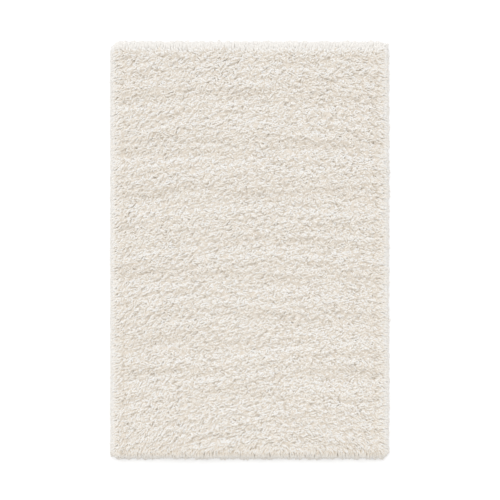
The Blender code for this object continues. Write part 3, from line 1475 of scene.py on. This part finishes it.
    def _top_ends(self, draw: np.random.Generator) -> Arrays:
        """Where the strands on the rug's top end, before the outline is made uneven.

        Args:
            draw: The generator of the random draws.

        Returns:
            The places across and along the rug.
        """
        half_x, half_y = self.rim.half
        count = round(4 * half_x * half_y / self.area)
        pitch = math.sqrt(self.area)
        place = np.arange(count)
        x = (place * self.even_x % 1.0 * 2 - 1) * half_x
        y = (place * self.even_y % 1.0 * 2 - 1) * half_y
        x = x + self.shift * pitch * draw.uniform(-1, 1, count)
        y = y + self.shift * pitch * draw.uniform(-1, 1, count)
        inside = self.surface.distance_inside(x, y)
        bunched = self.bunch * smooth(inside / self.bunch_run)
        y += bunched * self.surface.ripples(x, y, even_slope=False)
        gathered = self.gather * smooth(inside / self.gather_run)
        slope_x, slope_y = self.surface.lock_slopes(x, y)
        x += gathered * slope_x
        y += gathered * slope_y
        kept = inside > self.rim.inset
        return x[kept], y[kept]

    def _centre_lines(self) -> Arrays:
        """The strands' centre lines.

        Returns:
            The points at each step of each strand, and each strand's radius.
        """
        draw = np.random.default_rng(self.seed + 1)
        x, y, share = self._ends()
        lines = self._bent(x, y, share, draw)
        rise = lines[:, :, 2] / lines[:, -1:, 2]
        self._place(lines, x, y)
        self._pull_in_roots(lines)
        self._lift(lines, rise, y, share, draw)
        at_rim = self.rim_start - self.surface.distance_inside(x, y) / self.rim_width
        at_far_end = self.rim_start - (self.surface.high.y - y) / self.rim_width
        rim_radius = self.rim_radius + (self.far_radius - self.rim_radius) * smooth(at_far_end)
        radius = self.radius + (rim_radius - self.radius) * smooth(at_rim)
        return lines, radius * (1.0 + self.radius_spread * draw.standard_normal(len(x)))

    def _bent(
        self, x: np.ndarray, y: np.ndarray, share: np.ndarray, draw: np.random.Generator
    ) -> np.ndarray:
        """Centre lines that start at the origin and bend over on their way.

        Args:
            x: The ends' places across the rug.
            y: The ends' places along the rug.
            share: The ends' height as a share of the surface's.
            draw: The generator of the random draws.

        Returns:
            The points at each step of each strand.
        """
        count = len(x)
        heading = self.lay.headings(x, y, self.surface, draw)
        curl = np.radians(self.curl) * draw.standard_normal(count)
        first = np.radians(self.root_lean + self.root_spread * draw.standard_normal(count))
        last = self.tip_lean + self.tip_spread * draw.standard_normal(count)
        last = np.radians(np.clip(last, self.least_lean, self.most_lean))
        length = np.where(share < 1.0, self.rim_length, self.length)
        length = length * (1.0 + self.length_spread * draw.standard_normal(count))
        t = (np.arange(self.steps) + 0.5) / self.steps
        lean = first[:, None] + (last - first)[:, None] * t
        turn = heading[:, None] + curl[:, None] * (t - self.curl_place)
        step = (length / self.steps)[:, None]
        over = np.sin(lean)
        moves = np.stack(
            [over * np.cos(turn) * step, over * np.sin(turn) * step, np.cos(lean) * step], 2
        )
        return np.concatenate([np.zeros((count, 1, 3)), np.cumsum(moves, 1)], 1)

    def _place(self, lines: np.ndarray, x: np.ndarray, y: np.ndarray) -> None:
        """Moves each centre line so that its anchor lies where its end was placed.

        Args:
            lines: The centre lines.
            x: The ends' places across the rug.
            y: The ends' places along the rug.
        """
        inside = self.surface.distance_inside(x, y)
        inner = smooth((inside - self.anchor_start) / self.anchor_run)[:, None]
        held = lines[:, self._anchor_step()] * inner + lines[:, -1] * (1.0 - inner)
        lines[:, :, 0] += (x - held[:, 0])[:, None]
        lines[:, :, 1] += (y - held[:, 1])[:, None]

    def _pull_in_roots(self, lines: np.ndarray) -> None:
        """Pulls roots that lie too near the outline in, and the rest of a strand less and less.

        Args:
            lines: The centre lines.
        """
        root_x = lines[:, 0, 0].copy()
        root_y = lines[:, 0, 1].copy()
        short = np.maximum(self.root_inset - self.surface.distance_inside(root_x, root_y), 0.0)
        pull = short / np.maximum(np.hypot(root_x, root_y), self.root_near) * self.root_pull
        fade = 1.0 - np.linspace(0.0, 1.0, self.steps + 1)
        lines[:, :, 0] -= (root_x * pull)[:, None] * fade
        lines[:, :, 1] -= (root_y * pull)[:, None] * fade

    def _lift(
        self,
        lines: np.ndarray,
        rise: np.ndarray,
        y: np.ndarray,
        share: np.ndarray,
        draw: np.random.Generator,
    ) -> None:
        """Lifts each centre line so that it goes from the foot to its share of the surface.

        Args:
            lines: The centre lines.
            rise: How far each of their points has risen, from 0 at the root to 1 at the tip.
            y: The ends' places along the rug.
            share: The ends' height as a share of the surface's.
            draw: The generator of the random draws.
        """
        root = self.foot.height(lines[:, 0, 0], lines[:, 0, 1]) - self.embed
        root = np.where(share < 1.0, self.foot.backing + share * self.root_rise, root)[:, None]
        at_near_end = y < self.near_end - self.surface.high.y
        uneven = self.height_spread + self.near_height_spread * at_near_end
        reach = share * (1.0 + uneven * draw.standard_normal(len(y))) - self.sink
        top = self.surface.at(lines[:, :, 0], lines[:, :, 1]) * reach[:, None] - self.radius
        lines[:, :, 2] = root + (np.maximum(top, self.radius) - root) * rise

    def _points(self, lines: np.ndarray, radius: np.ndarray, turn: np.ndarray) -> np.ndarray:
        """The points of copies of the strand that follow these centre lines.

        Args:
            lines: The centre lines.
            radius: The strands' radii.
            turn: How far each is turned about itself, in radians.

        Returns:
            The points of each strand.
        """
        ring = np.round(self.shape.points[:, 2] * self.steps).astype(int)
        ahead = lines[:, np.minimum(ring + 1, self.steps)] - lines[:, np.maximum(ring - 1, 0)]
        ahead /= np.linalg.norm(ahead, axis=2, keepdims=True)
        side = np.stack([-ahead[:, :, 1], ahead[:, :, 0], np.zeros(ahead.shape[:2])], 2)
        side /= np.maximum(np.linalg.norm(side, axis=2, keepdims=True), TINY)
        up = np.cross(ahead, side)
        cos = np.cos(turn)[:, None]
        sin = np.sin(turn)[:, None]
        to_side = self.shape.points[:, 0] * cos - self.shape.points[:, 1] * sin
        to_up = self.shape.points[:, 0] * sin + self.shape.points[:, 1] * cos
        off = to_side[:, :, None] * side + to_up[:, :, None] * up
        points = lines[:, ring] + radius[:, None, None] * off
        points[:, :, 2] = np.maximum(points[:, :, 2], self.floor_gap)
        return points

    def _mesh(self, name: str, points: np.ndarray) -> bpy.types.Mesh:
        """One joined mesh of strands.

        Args:
            name: The mesh's name.
            points: The points of each strand.

        Returns:
            The mesh.
        """
        count = len(points)
        corners = self.shape.corners()
        sizes = np.array([len(face) for face in self.shape.faces])
        mesh = bpy.data.meshes.new(name)
        mesh.vertices.add(count * len(self.shape.points))
        mesh.vertices.foreach_set("co", points.astype(np.float32).ravel())
        mesh.loops.add(count * len(corners))
        index = (np.arange(count)[:, None] * len(self.shape.points) + corners).astype(np.int32)
        mesh.loops.foreach_set("vertex_index", index.ravel())
        mesh.polygons.add(count * len(sizes))
        start = np.arange(count)[:, None] * len(corners) + np.cumsum(sizes) - sizes
        mesh.polygons.foreach_set("loop_start", start.astype(np.int32).ravel())
        mesh.update(calc_edges=True)
        mesh.shade_smooth()
        return mesh

    def _map(self, mesh: bpy.types.Mesh, column: np.ndarray, plain: np.ndarray) -> None:
        """Gives each strand of a mesh its place on the yarn's map.

        Args:
            mesh: The mesh.
            column: The column of the map that each strand shows.
            plain: How plain each strand is, from 0 to 1.
        """
        places = self.shape.map_places()
        along = places[:, 1]
        uv = np.empty((len(column), len(places), 2), np.float32)
        uv[:, :, 0] = self.finish.places_across(column, places[:, 0])
        # Plain strands show one colour all along, between the root's painted shade and the tip's
        # painted light.
        uv[:, :, 1] = along + (self.toning.plain_place - along) * plain[:, None]
        layer = mesh.uv_layers.new(name=YARN_MAP)
        layer.uv.foreach_set("vector", uv.ravel())


@dataclass
class Backing:
    """The woven cloth that the strands stand in.

    Attributes:
        surface: The pile's surface.
        finish: The cloth's finish.
        thickness: Its thickness.
        overhang: How far the pile spills past it.
        columns: How many cells its mesh has across the rug.
        rows: How many it has along the rug.
    """

    surface: PileSurface
    finish: BackingFinish
    thickness: float = 0.003
    overhang: float = 0.018
    columns: int = 24
    rows: int = 36

    @property
    def flat(self) -> tuple[float, float]:
        """The width and the length that the cloth was cut to."""
        high = self.surface.high
        return high.x * 2 - 2 * self.overhang, high.y * 2 - 2 * self.overhang

    def build(self) -> bpy.types.Object:
        """Makes the backing as a thin closed sheet.

        Returns:
            The sheet.
        """
        bpy.ops.object.select_all(action="DESELECT")
        bpy.ops.mesh.primitive_grid_add(
            x_subdivisions=self.columns,
            y_subdivisions=self.rows,
            size=1.0,
            location=(0.0, 0.0, self.thickness),
        )
        sheet = bpy.context.object
        sheet.name = "backing"
        sheet.scale = (*self.flat, 1.0)
        bpy.ops.object.transform_apply(location=True, rotation=True, scale=True)
        solid = sheet.modifiers.new("thickness", "SOLIDIFY")
        solid.thickness = self.thickness
        solid.offset = -1.0
        bpy.ops.object.modifier_apply(modifier=solid.name)
        sheet.data.materials.append(self.finish.material())
        return sheet


@dataclass
class Studio:
    """A plain white floor, soft light from the rug's far end and a camera straight above.

    Attributes:
        floor_size: The floor's width and length.
        floor_colour: Its colour.
        floor_roughness: How matt it is.
        sky: The strength of the even white light from all round.
        sun_power: The strength of the light from the far end.
        sun_elevation: How high that stands over the floor.
        sun_turn: How far it is turned to one side.
        sun_spread: How wide it is, which makes it soft.
        lens: The camera's focal length, in millimetres.
        sensor: The width of its sensor, in millimetres.
        view_width: The width that it sees at the height it is aimed at.
        aim: The place that it is aimed at.
        view_end: How far it sees.
    """

    floor_size: float = 40.0
    floor_colour: Colour = (0.94, 0.94, 0.94)
    floor_roughness: float = 0.9
    sky: float = 0.99
    sun_power: float = 0.92
    sun_elevation: float = 48.0
    sun_turn: float = 12.0
    sun_spread: float = 80.0
    lens: float = 100.0
    sensor: float = 36.0
    view_width: float = 2.1585
    aim: tuple[float, float, float] = (0.0016, 0.0038, 0.016)
    view_end: float = 50.0

    def build(self) -> None:
        """Makes the floor, the lights and the camera."""
        self._lay_floor()
        self._light()
        self._place_camera()
        bpy.context.scene.view_settings.view_transform = "Standard"

    def _lay_floor(self) -> None:
        """Makes the floor, which isn't part of the rug."""
        bpy.ops.object.select_all(action="DESELECT")
        bpy.ops.mesh.primitive_plane_add(size=self.floor_size)
        floor = bpy.context.object
        floor.name = "floor"
        shader = Shader("floor", self.floor_roughness, specular=0.0)
        shader.colour((*self.floor_colour, 1.0))
        floor.data.materials.append(shader.material)

    def _light(self) -> None:
        """Makes the even light from all round and the soft light from the far end."""
        world = bpy.data.worlds.new("studio")
        world.use_nodes = True
        sky = world.node_tree.nodes["Background"]
        sky.inputs["Color"].default_value = (1.0, 1.0, 1.0, 1.0)
        sky.inputs["Strength"].default_value = self.sky
        bpy.context.scene.world = world
        sun = bpy.data.lights.new("sun", "SUN")
        sun.energy = self.sun_power
        sun.angle = math.radians(self.sun_spread)
        lamp = bpy.data.objects.new("sun", sun)
        tilt = math.radians(self.sun_elevation - 90.0)
        lamp.rotation_euler = (tilt, 0.0, math.radians(self.sun_turn))
        bpy.context.scene.collection.objects.link(lamp)

    def _place_camera(self) -> None:
        """Makes the camera, which looks straight down."""
        lens = bpy.data.cameras.new("camera")
        lens.lens = self.lens
        lens.sensor_width = self.sensor
        lens.clip_end = self.view_end
        camera = bpy.data.objects.new("camera", lens)
        x, y, z = self.aim
        camera.location = (x, y, z + self.view_width * self.lens / self.sensor)
        bpy.context.scene.collection.objects.link(camera)
        bpy.context.scene.camera = camera


def main() -> None:
    """Builds the rug and its studio, and reports each piece."""
    logging.basicConfig(level=logging.INFO, format="%(message)s")
    surface = PileSurface()
    backing = Backing(surface, BackingFinish())
    cloth = backing.build()
    foot = PileFoot(surface, FootFinish())
    mat = foot.build()
    pile = Pile(
        surface, StrandShape(), YarnFinish(), foot, Lay(), Rim(surface), Toning(surface)
    ).build()
    strands = [mat, *pile]
    for piece in [cloth, *strands]:
        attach(piece, BODY)
        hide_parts(NODE)
        LOG.info("%s: %d faces", piece.name, len(piece.data.polygons))
    Studio().build()


if __name__ == "__main__":
    main()
